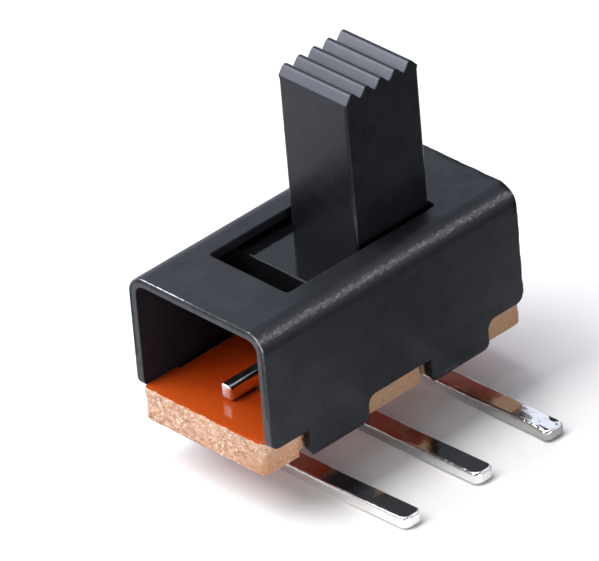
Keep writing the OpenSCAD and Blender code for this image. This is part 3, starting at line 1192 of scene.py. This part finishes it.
@dataclass
class Board:
    """The punched laminate board: notched outline, rough edges, leg slots and recesses for the feet."""

    length: float = 10.8
    width: float = 5.1
    thickness: float = 1.1
    corner_r: float = 0.2
    tab_at: float = 2.525
    room_w: float = 2.85
    notch: float = 0.12
    nick: tuple[float, float] = (0.21, 0.27)
    foot_y: float = 1.46
    recess: float = 0.14
    pitch: float = 3.0
    leg_slot: tuple[float, float] = (0.8, 0.44)
    grid_step: float = 0.05
    grid: tuple[float, float] = (5.2, 2.3)

    def outline(self, depth: float) -> Array:
        """The board's outline with notches of a given depth, counter-clockwise.

        On the -Y side the +X notch begins with a deeper nick, whose gap beside the tab shows black.

        Args:
            depth: Depth of the notches behind the tabs.

        Returns:
            The outline's points.
        """
        hx, hy, half = self.length / 2, self.width / 2, self.room_w / 2
        sides, radii = [], []
        for turn, nick in ((1, self.nick[1]), (-1, 0.0)):
            side, r = [(-hx, -hy)], [self.corner_r]
            for x in (-self.tab_at, self.tab_at):
                side += [(x - half, -hy)]
                r += [0.03]
                if x > 0 and nick > depth:
                    side += [(x - half, nick - hy), (x - half + self.nick[0], nick - hy),
                             (x - half + self.nick[0], depth - hy)]
                    r += [0.02] * 3
                else:
                    side += [(x - half, depth - hy)]
                    r += [0.02]
                side += [(x + half, depth - hy), (x + half, -hy)]
                r += [0.02, 0.03]
            sides += [(turn * x, turn * y) for x, y in [*side, (hx, -hy)]]
            radii += [*r, self.corner_r]
        return rounded(sides, radii, 5)

    def layer(self, depth: float, low: float, high: float, top_r: float, low_r: float) -> Skin:
        """One storey of the board between two heights.

        Args:
            depth: Depth of its notches.
            low: Its lower height.
            high: Its upper height.
            top_r: Radius of its upper rim.
            low_r: Radius of its lower rim.

        Returns:
            Its skin.
        """
        sx, sy = self.leg_slot[0] / 2, self.leg_slot[1] / 2
        holes = [rounded([(x - sx, -sy), (x - sx, sy), (x + sx, sy), (x + sx, -sy)], [0.03] * 4, 2)
                 for x in (-self.pitch, 0.0, self.pitch)]
        gx, gy = self.grid
        blank = Blank(self.outline(depth), high - low, holes, top_r=top_r, low_r=low_r, step=self.grid_step,
                      steps=2, rows=np.linspace(-gy, gy, 13), columns=np.linspace(-gx, gx, 27))
        return blank.skin().moved((0, 0, (low + high) / 2))

    def rough_sides(self, skin: Skin) -> Skin:
        """The skin with its edge pushed in: coarse lumps, fibres along the layers and pits.

        Args:
            skin: The board's skin.

        Returns:
            The roughened skin; the ends are rougher than the long sides.
        """
        p, edge = skin.points, skin.values["edge"]
        end = np.clip((np.abs(p[:, 0]) - 5.0) / 0.3, 0.25, 1.0)
        push = 0.02 * lumps(p, 0.28, 3) + 0.016 * lumps(p, (0.12, 0.12, 0.06), 5) - 0.012
        pits = np.clip(lumps(p, (0.1, 0.1, 0.07), 9) - 0.45, 0, 1) * 0.06
        move = np.minimum((push - pits) * end * edge, 0.0)
        level = skin.normals * [1, 1, 0]
        on_side = np.linalg.norm(level, axis=1) > 0.1
        return Skin(p + unit(level) * move[:, None] * on_side[:, None], skin.normals, skin.faces, skin.values)

    def build(self, finishes: Finishes) -> Piece:
        """Makes the board in two storeys, with a fine grid on its sides, and dresses it.

        Args:
            finishes: The finishes.

        Returns:
            The piece.
        """
        upper = self.layer(self.notch, self.recess, self.thickness, 0.03, 0.005)
        lower = self.layer(self.width / 2 - self.foot_y, 0.0, self.recess, 0.005, 0.03)
        skin = Skin.joined([self.refined(upper, self.recess, self.thickness),
                            self.refined(lower, 0.0, self.recess)])
        piece = make_piece("laminate_board", self.rough_sides(skin), sharp=50)
        finish_piece(piece, "housing", "paper_laminate", finishes.laminate, "base")
        return piece

    def refined(self, skin: Skin, low: float, high: float) -> Skin:
        """The skin with its tall side quads split into rows about one grid step high.

        Args:
            skin: One storey's skin.
            low: Its lower height.
            high: Its upper height.

        Returns:
            The skin with the rows added.
        """
        rows = max(int((high - low) / self.grid_step), 1)
        quads = skin.rows(4)
        span = np.abs(skin.points[quads[:, 3], 2] - skin.points[quads[:, 0], 2])
        tall = span > 0.5 * (high - low)
        share = np.linspace(0, 1, rows + 1)[1:-1]
        bottom, follow, _, top = quads[tall].T
        a, b = skin.points[bottom], skin.points[top]
        added = (a[:, None] + (b - a)[:, None] * share[None, :, None]).reshape(-1, 3)
        normal = np.repeat(skin.normals[bottom], len(share), 0)
        base = len(skin.points)
        column = base + np.arange(len(bottom))[:, None] * len(share) + np.arange(len(share))[None]
        grid = np.hstack([bottom[:, None], column, top[:, None]])
        order = np.argsort(bottom)
        after = grid[order[np.searchsorted(bottom, follow, sorter=order)]]
        split = np.stack([grid[:, :-1], after[:, :-1], after[:, 1:], grid[:, 1:]], -1).reshape(-1, 4)
        values = {k: np.concatenate([v, np.repeat(v[bottom], len(share))]) for k, v in skin.values.items()}
        return Skin(np.concatenate([skin.points, added]), np.concatenate([skin.normals, normal]),
                    [skin.rows(3), quads[~tall], split], values)


@dataclass
class Terminal:
    """A flat terminal: its head bar on the board and its leg, cut flat and bent to -Y."""

    number: int
    left: float
    right: float
    pitch: float = 3.0
    sheet: float = 0.4
    leg_w: float = 0.76
    head_h: float = 0.57
    head_r: float = 0.2
    board_t: float = 1.1
    drop: float = 1.25
    bend_r: float = 0.1
    tip_y: float = -6.21
    tip_r: float = 0.25
    corner_r: tuple[float, float] = (0.06, 0.02)
    rim_r: tuple[float, float] = (0.06, 0.12)
    grid_step: float = 0.08
    bend_run: float = 0.4712
    drift: tuple[float, float] = (0.06, 0.045)
    tip_lean: float = 0.1
    tip_from: float = -5.6
    crush_from: float = -5.35
    crush_deep: float = 0.06

    def line(self) -> FoldLine:
        """The leg's middle line, from the head's top down and out to the tip.

        Returns:
            The line, by Y and height.
        """
        mid = self.bend_r + self.sheet / 2
        down = self.board_t + self.head_h + self.drop - mid
        return FoldLine((0.0, self.board_t + self.head_h), -90.0,
                        (Stretch(down, -90, mid), Stretch(-mid - self.tip_y)))

    def reach(self) -> float:
        """Length of the middle line."""
        mid = self.bend_r + self.sheet / 2
        return self.board_t + self.head_h + self.drop - mid + mid * np.pi / 2 - mid - self.tip_y

    def blank(self) -> Blank:
        """The flat blank: the head bar with the leg across it.

        Returns:
            The blank, with v from the head's top to the tip.
        """
        half, low, tip = self.leg_w / 2, self.head_h, self.reach()
        corners = [(-self.left, 0.0), (self.right, 0.0), (self.right, low), (half, low), (half, tip),
                   (-half, tip), (-half, low), (-self.left, low)]
        (top, inner), (top_r, low_r) = self.corner_r, self.rim_r
        radii = [top, top, self.head_r, inner, self.tip_r, self.tip_r, inner, self.head_r]
        bend = self.board_t + self.head_h + self.drop - self.bend_r - self.sheet / 2
        out = bend + self.bend_run
        rows = np.concatenate([np.linspace(0.1, bend, 24), np.linspace(bend, out, 9)[1:],
                               np.linspace(out, tip, 90)[1:-1]])
        columns = np.linspace(-half + 0.15, half - 0.15, 9)
        return Blank(rounded(corners, radii, 8), self.sheet, [], top_r, low_r, self.grid_step, rows, columns)

    def dented(self, points: Array) -> Array:
        """The leg as it lies: a little up and to +X at the tip, and the third one's tip crushed on top.

        Args:
            points: The bent terminal's points.

        Returns:
            The points, moved in proportion to their distance beyond the cover. The third tip's -X side
            also leans out with the square of the distance, and its upper side sinks.
        """
        out = points.copy()
        beyond = np.clip((WALL_Y - points[:, 1]) / (WALL_Y - self.tip_y), 0, 1)
        out[:, 0] += self.drift[0] * beyond
        out[:, 2] += self.drift[1] * beyond
        if self.number != 3:
            return out
        left = np.clip(-points[:, 0] / (self.leg_w / 2), 0, 1)
        out[:, 0] -= self.tip_lean * np.clip((self.tip_from - points[:, 1]) / 0.6, 0, 1) ** 2 * left
        out[:, 2] -= self.sunk(points)
        return out

    def sunk(self, points: Array) -> Array:
        """How far the third tip's upper side is crushed in, in lumps of two sizes.

        Args:
            points: Points of the bent terminal.

        Returns:
            Depth at each point, zero on the other terminals.
        """
        near = np.clip((self.crush_from - points[:, 1]) / 0.25, 0, 1) * (points[:, 2] > -self.drop)
        crush = 0.5 + 0.5 * lumps(points, (0.17, 0.24, 9.0), 21) + 0.16 * lumps(points, (0.07, 0.16, 9.0), 22)
        return self.crush_deep * near * np.clip(crush, 0, 1) * (self.number == 3)

    def creased(self, points: Array, normals: Array) -> Array:
        """The normals tilted by the crushed surface's slope, taken from depths a little to each side.

        Args:
            points: The terminal's points before they are crushed.
            normals: Their normals.

        Returns:
            The tilted normals.
        """
        out, step = normals.copy(), 0.012
        for axis in (0, 1):
            aside = np.eye(3)[axis] * step
            slope = (self.sunk(points + aside) - self.sunk(points - aside)) / (2 * step)
            out[:, axis] += slope * np.clip(normals[:, 2], 0, 1)
        return unit(out)

    def build(self, finishes: Finishes) -> Piece:
        """Bends the blank, marks the head's sheared ends and the part outside, and dresses it.

        Args:
            finishes: The finishes.

        Returns:
            The piece.
        """
        flat = self.blank().skin()
        x, v, w = flat.points.T
        yz, left = self.line().place(v, w)
        across = np.stack([left[:, 1], -left[:, 0]], 1)
        normal_yz = flat.normals[:, 1:2] * across + flat.normals[:, 2:3] * left
        points = np.stack([x, yz[:, 0], yz[:, 1]], 1)
        normals = self.creased(points, np.column_stack([flat.normals[:, 0], normal_yz]))
        head = v < self.head_h + 0.1
        sheared = np.clip((np.abs(flat.normals[:, 0]) - 0.3) / 0.3, 0, 1)
        matte = flat.values["edge"] * (sheared * np.clip((w + 0.13) / 0.2, 0, 1)) * head
        values = {**flat.values, "matte": matte, "outside": 1.0 - head}
        skin = Skin(self.dented(points), normals, flat.faces, values)
        place = ((self.number - 2) * self.pitch, 0, 0)
        piece = make_piece(f"tinned_terminal_{self.number}", skin.moved(place))
        finish_piece(piece, "housing", "tin_plate", finishes.tin, f"terminal_{self.number}")
        return piece


@dataclass
class Slider:
    """The moulded slider: ridged knob, polished plate and the housing round the contact clip."""

    at: float = 1.55
    knob_l: float = 3.0
    knob_w: float = 2.86
    knob_top: float = 10.03
    knob_r: float = 0.12
    ridges: int = 5
    ridge_h: float = 0.28
    crest_r: float = 0.14
    front_share: float = 0.48
    valley_r: float = 0.03
    foot_r: float = 0.02
    shoulder_r: float = 0.04
    ridge_rim_r: float = 0.045
    crest_lift: float = 0.025
    plate: tuple[float, float] = (6.8, 4.92)
    plate_top: float = 4.48
    plate_t: float = 0.8
    chamfer: float = 0.06
    housing: tuple[float, float] = (4.64, 2.7)
    housing_z: float = 1.2
    pocket: tuple[float, float] = (3.64, 1.84)
    pocket_top: float = 3.32
    channel: tuple[float, float] = (1.0, 1.97)
    wall_r: float = 0.02
    end_r: tuple[float, float] = (0.03, 0.04)
    lap: float = 0.05
    knob_step: float = 0.06
    slab_step: float = 0.4

    def knob_skin(self) -> Skin:
        """The knob as its side view, drawn out across the switch, with ridges on top.

        Each ridge rises from a valley to a rounded crest at a share of the pitch and falls to the next
        valley. The rims are wider on the sides below the ridges.

        Returns:
            Its skin, with "ridge" 1 on the ridges' front slopes, which are painted lighter as a highlight,
            "line" along their tops, where a highlight line is painted, "upright" on the sides below them and
            "rim" along the rounding between the side view and the sides.
        """
        pitch = self.knob_l / self.ridges
        valley, foot = self.knob_top - self.ridge_h, self.plate_top - 0.1
        starts = (np.arange(self.ridges) * pitch - self.knob_l / 2)[::-1]
        crest_z = self.knob_top + 0.37 * self.crest_r + self.crest_lift
        top = [p for x in starts for p in ((x + self.front_share * pitch, crest_z), (x, valley))]
        corners = [(-self.knob_l / 2, foot), (self.knob_l / 2, foot), (self.knob_l / 2, valley), *top]
        radii = [self.foot_r, self.foot_r, self.shoulder_r, *[self.crest_r, self.valley_r] * self.ridges]
        radii[-1] = self.shoulder_r
        outer = rounded(corners, radii, 5)
        side = self.knob_l / 2 - 0.15
        blank = Blank(outer, self.knob_w, step=self.knob_step, steps=5, columns=np.linspace(-side, side, 13),
                      rows=np.linspace(foot + 0.1, valley - 0.1, 18))
        u, v = dense(outer, blank.step).T
        upright = (np.abs(np.abs(u) - self.knob_l / 2) < 0.02) & (v < valley + 0.01)
        widened = (self.knob_r - self.ridge_rim_r) * np.clip((valley - v) / 0.12, 0, 1)
        blank.top_r = blank.low_r = np.where(upright, self.ridge_rim_r + widened, self.ridge_rim_r)
        flat = blank.skin()
        x, z, w = flat.points.T
        points = np.stack([x, -w, z], 1)
        normals = np.stack([flat.normals[:, 0], -flat.normals[:, 2], flat.normals[:, 1]], 1)
        # Masks for the painted highlights on the ridges' front slopes and along their tops.
        slope = np.clip((-normals[:, 0] - 0.6) / 0.07, 0, 1) * (normals[:, 2] > 0.3)
        line = np.exp(-((normals[:, 0] + 0.56) / 0.07) ** 2) * (normals[:, 2] > 0.6)
        upright = np.clip(1.5 - np.abs(normals[:, 2]) * 5, 0, 1) * (z < valley)
        rim = 2 * np.abs(flat.normals[:, 2]) * np.sqrt(np.clip(1 - flat.normals[:, 2] ** 2, 0, 1))
        values = {"ridge": slope, "line": line, "upright": upright, "rim": rim}
        return Skin(points, normals, flat.faces, values)

    def slab(self, size: tuple[float, float], low: float, high: float, r: float,
             at: tuple[float, float] = (0, 0)) -> Skin:
        """A block with rounded rims between two heights.

        Args:
            size: Its length and width.
            low: Its lower height.
            high: Its upper height.
            r: Radius of its rims and corners.
            at: Its centre.

        Returns:
            Its skin.
        """
        hx, hy = size[0] / 2, size[1] / 2
        outer = rounded([(-hx, -hy), (hx, -hy), (hx, hy), (-hx, hy)], [r] * 4, 4)
        rows, columns = np.linspace(-hy, hy, 9)[1:-1], np.linspace(-hx, hx, 13)[1:-1]
        blank = Blank(outer, high - low, [], r, r, self.slab_step, rows, columns)
        return blank.skin().moved((*at, (low + high) / 2))

    def end_wall(self, side: int) -> Skin:
        """An end wall of the housing, cut out below where the heads pass.

        Args:
            side: 1 for the wall at +X and -1 for the other.

        Returns:
            Its skin.
        """
        hy, cy = self.housing[1] / 2, self.channel[0] / 2
        low, high, cut = self.housing_z, self.plate_top - self.plate_t + self.lap, self.channel[1]
        corners = [(-hy, low), (-cy, low), (-cy, cut), (cy, cut), (cy, low), (hy, low), (hy, high),
                   (-hy, high)]
        thick = (self.housing[0] - self.pocket[0]) / 2
        rim_r, corner_r = self.end_r
        flat = Blank(rounded(corners, [corner_r] * 8, 3), thick, [], rim_r, rim_r, step=0.3).skin()
        y, z, w = flat.points.T
        x0 = side * (self.housing[0] + self.pocket[0]) / 4
        return Skin(np.stack([w + x0, y, z], 1), flat.normals[:, [2, 0, 1]], flat.faces, flat.values)

    def housing_skin(self) -> Skin:
        """The housing: two cut-out end walls, two side walls and the roof over the clip.

        Returns:
            Its skin.
        """
        thick = (self.housing[1] - self.pocket[1]) / 2
        high = self.plate_top - self.plate_t + self.lap
        long, wide = self.pocket[0] + 2 * self.lap, self.pocket[1] + 2 * self.lap
        y = (self.housing[1] + self.pocket[1]) / 4
        sides = [self.slab((long, thick), self.housing_z, high, self.wall_r, (0, s * y)) for s in (-1, 1)]
        roof = self.slab((long, wide), self.pocket_top, high, self.wall_r)
        return Skin.joined([self.end_wall(-1), self.end_wall(1), *sides, roof])

    def build(self, finishes: Finishes) -> list[Piece]:
        """Makes the knob, the plate and the housing, and dresses them.

        Args:
            finishes: The finishes.

        Returns:
            The knob, and the plate with the housing.
        """
        shaft = self.knob_skin().moved((self.at, 0, 0))
        plate_skin = self.slab(self.plate, self.plate_top - self.plate_t, self.plate_top, self.chamfer)
        body = Skin.joined([plate_skin, self.housing_skin()]).moved((self.at, 0, 0))
        body.values = {name: np.zeros(len(body.points)) for name in shaft.values}
        knob, plate = make_piece("ridged_knob", shaft), make_piece("slider_plate", body)
        finish_piece(knob, "slider", "black_moulding", finishes.knob, "slider")
        finish_piece(plate, "slider", "black_moulding", finishes.plate)
        return [knob, plate]


# Floor, lamps and camera


@dataclass(frozen=True)
class Lamp:
    """A soft lamp that faces the switch, its longer side in the XZ plane.

    Its direction is from the switch to the lamp, its size is the length of its shorter side and its
    power the radiance of its face. Far is its distance and wide its longer side over its shorter one.
    """

    name: str
    towards: Triple
    size: float
    power: float
    color: Triple = (1.0, 1.0, 1.0)
    far: float = 90.0
    wide: float = 1.0
    aim: Triple = (0.0, 2.0, 4.0)

    def hang(self) -> None:
        """Makes the lamp and turns it to the switch."""
        data = bpy.data.lights.new(self.name, "AREA")
        data.shape, data.color = "RECTANGLE", self.color
        data.size, data.size_y = self.size * self.wide * MM, self.size * MM
        data.energy = self.power * np.pi * self.wide * (self.size * MM) ** 2
        lamp = bpy.data.objects.new(self.name, data)
        back = Vector(self.towards).normalized()
        along = Vector((0, 1, 0)).cross(back).normalized()
        turn = Matrix((along, back.cross(along), back)).transposed()
        place = Vector([c * MM for c in self.aim]) + back * self.far * MM
        lamp.matrix_world = Matrix.Translation(place) @ turn.to_4x4()
        bpy.context.scene.collection.objects.link(lamp)


@dataclass
class Studio:
    """The plain pale floor, soft lamps and the camera at the photograph's angle."""

    aim: Triple = (0.38, 4.492, 3.551)
    azimuth: float = -41.799
    elevation: float = 32.568
    roll: float = -5.059
    distance: float = 300.04
    lens: float = 604.73
    sensor: float = 36.0
    sky: tuple[float, float] = (0.04, 1.15)
    sky_way: Triple = (0.3, 0.9, 0.32)
    sky_tint: Triple = (0.84, 0.9, 1.06)
    panel: float = 0.75
    panel_way: Triple = (0.6, -0.66, 0.45)
    side_fill: float = 0.06
    side_way: Triple = (-0.78, -0.56, 0.28)
    bounce: float = 0.45
    paper: Triple = (0.83, 0.81, 0.797)
    mirrored_paper: float = 0.92
    lift: float = 0.002
    floor_half: float = 3.0
    away: tuple[float, float] = (0.666, 0.746)
    away_turn: tuple[float, float] = (0.002, 0.009)
    aside: float = 0.889
    middle_at: float = 0.0009
    middle_turn: tuple[float, float] = (0.0012, 0.0048)
    right_turn: tuple[float, float] = (0.0018, 0.0052)
    right_depth: tuple[float, float] = (-0.0071, -0.0055)
    lamps: tuple[Lamp, ...] = (
        Lamp("key_lamp", (-0.445, 0.629, 0.638), 54.0, 4.8, (0.93, 0.96, 1.0)),
        Lamp("high_lamp", (-0.3, 0.26, 1.0), 72.0, 8.9, far=250.0, wide=3.8),
        Lamp("left_lamp", (-1.0, 0.1, 0.6), 60.0, 2.4),
        Lamp("bend_lamp", (0.573, -0.532, 0.624), 14.0, 5.0),
        Lamp("side_lamp", (-0.3, -1.0, 0.0), 60.0, 7.0),
    )

    def camera(self) -> None:
        """Places the camera on its line of sight and turns it by its roll."""
        az, el, roll = np.radians([self.azimuth, self.elevation, self.roll])
        back = np.array([np.sin(az) * np.cos(el), -np.cos(az) * np.cos(el), np.sin(el)])
        level = np.array([np.cos(az), np.sin(az), 0.0])
        above = np.cross(back, level)
        right = np.cos(roll) * level + np.sin(roll) * above
        up = np.cross(back, right)
        data = bpy.data.cameras.new("camera")
        data.lens, data.sensor_width = self.lens, self.sensor
        data.clip_start, data.clip_end = 0.01, 10.0
        camera = bpy.data.objects.new("camera", data)
        where = (np.array(self.aim) + back * self.distance) * MM
        turn = Matrix(np.column_stack([right, up, back])).to_4x4()
        camera.matrix_world = Matrix.Translation(Vector(where)) @ turn
        bpy.context.scene.collection.objects.link(camera)
        bpy.context.scene.camera = camera

    @staticmethod
    def facing(n: Nodes, way: Triple) -> Socket:
        """How far a direction that light comes from points a given way."""
        generated = n.add("TexCoord").outputs["Generated"]
        return n.add("VectorMath", {0: generated, 1: way}, operation="DOT_PRODUCT").outputs["Value"]

    def world(self) -> None:
        """White where the camera looks, and a soft sky for everything else.

        The sky is brighter behind the switch. A panel in front is there for reflections only, and a
        little light from the side only for the shadows.
        """
        world = bpy.data.worlds.new("studio")
        bpy.context.scene.world = world
        world.use_nodes = True
        n = Nodes(world.node_tree)
        path = n.add("LightPath").outputs
        level = n.ramp(self.facing(n, self.sky_way), 0.1, 0.85, *self.sky)
        panel = n.ramp(self.facing(n, self.panel_way), 0.6, 0.92, 0.0, self.panel)
        level = n.plus(level, n.times(panel, path["Is Glossy Ray"]))
        fill = n.ramp(self.facing(n, self.side_way), 0.05, 0.8, 0.0, self.side_fill)
        level = n.plus(level, n.times(fill, path["Is Diffuse Ray"]))
        sky = n.add("Background", {"Color": self.sky_tint, "Strength": level})
        white = n.add("Background", {"Color": (1.0, 1.0, 1.0), "Strength": 1.0})
        seen = n.maths("MAXIMUM", path["Is Camera Ray"], path["Is Transmission Ray"])
        both = n.add("MixShader", {0: seen, 1: sky.outputs[0], 2: white.outputs[0]})
        n.add("OutputWorld", {0: both.outputs[0]})

    def floor(self) -> None:
        """A wide pale floor at the legs' underside, white in the picture and grey in the light it gives.

        In reflections it darkens away from the switch and in the middle of its front, with a lighter
        patch to the right, so that the glossy walls show soft bands.
        """
        data = bpy.data.meshes.new("floor")
        s, z = self.floor_half, FLOOR_Z * MM
        data.from_pydata([(-s, -s, z), (s, -s, z), (s, s, z), (-s, s, z)], [], [(0, 1, 2, 3)])
        floor = bpy.data.objects.new("floor", data)
        bpy.context.scene.collection.objects.link(floor)
        material = bpy.data.materials.new("floor")
        material.use_nodes = True
        n = Nodes(material.node_tree)
        path = n.add("LightPath").outputs
        seen, gloss = path["Is Camera Ray"], path["Is Glossy Ray"]
        x, y, _ = n.add("SeparateXYZ", {0: n.add("TexCoord").outputs["Object"]}).outputs
        away = n.minus(n.times(x, self.away[0]), n.times(y, self.away[1]))
        aside = n.plus(x, n.times(y, self.aside))
        fall = n.ramp(away, *self.away_turn, 1.0, 0.12)
        off_middle = n.maths("ABSOLUTE", n.minus(aside, self.middle_at))
        middle = n.ramp(off_middle, *self.middle_turn, 0.55, 1.0)
        right = n.times(n.ramp(aside, *self.right_turn, 0.0, 0.62), n.ramp(y, *self.right_depth))
        fall = n.plus(n.times(fall, middle), right)
        given = n.mix(seen, (self.bounce,) * 3, self.paper)
        shiny = n.mix(fall, (0.0, 0.0, 0.0), (self.mirrored_paper,) * 3)
        paper = n.add("BsdfDiffuse", {"Color": n.mix(gloss, given, shiny)})
        own = n.times(self.lift, n.plus(seen, n.times(gloss, fall)))
        glow = n.add("Emission", {"Color": (1.0, 1.0, 1.0), "Strength": own})
        both = n.add("AddShader", {0: paper.outputs[0], 1: glow.outputs[0]})
        n.add("OutputMaterial", {0: both.outputs[0]})
        data.materials.append(material)

    def build(self) -> None:
        """Sets the whole stage."""
        self.camera()
        self.floor()
        self.world()
        for lamp in self.lamps:
            lamp.hang()
        bpy.context.scene.view_settings.view_transform = "Standard"


def main() -> None:
    """Loads the frame, builds and dresses every sub-assembly, and sets the stage."""
    logging.basicConfig(level=logging.INFO, format="%(name)s: %(message)s")
    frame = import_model()
    finishes = Finishes()
    Cover().build(finishes)
    Board().build(finishes)
    for terminal in (Terminal(1, 1.36, 1.15), Terminal(2, 1.15, 1.15), Terminal(3, 1.15, 1.36)):
        terminal.build(finishes)
    Slider().build(finishes)
    clip = frame["nodes"]["contact_clip"]
    clip.data.materials.clear()
    clip.data.materials.append(finishes.bronze)
    LOG.info("contact_clip: keeps its CAD shape, in spring bronze")
    Studio().build()


if __name__ == "__main__":
    main()
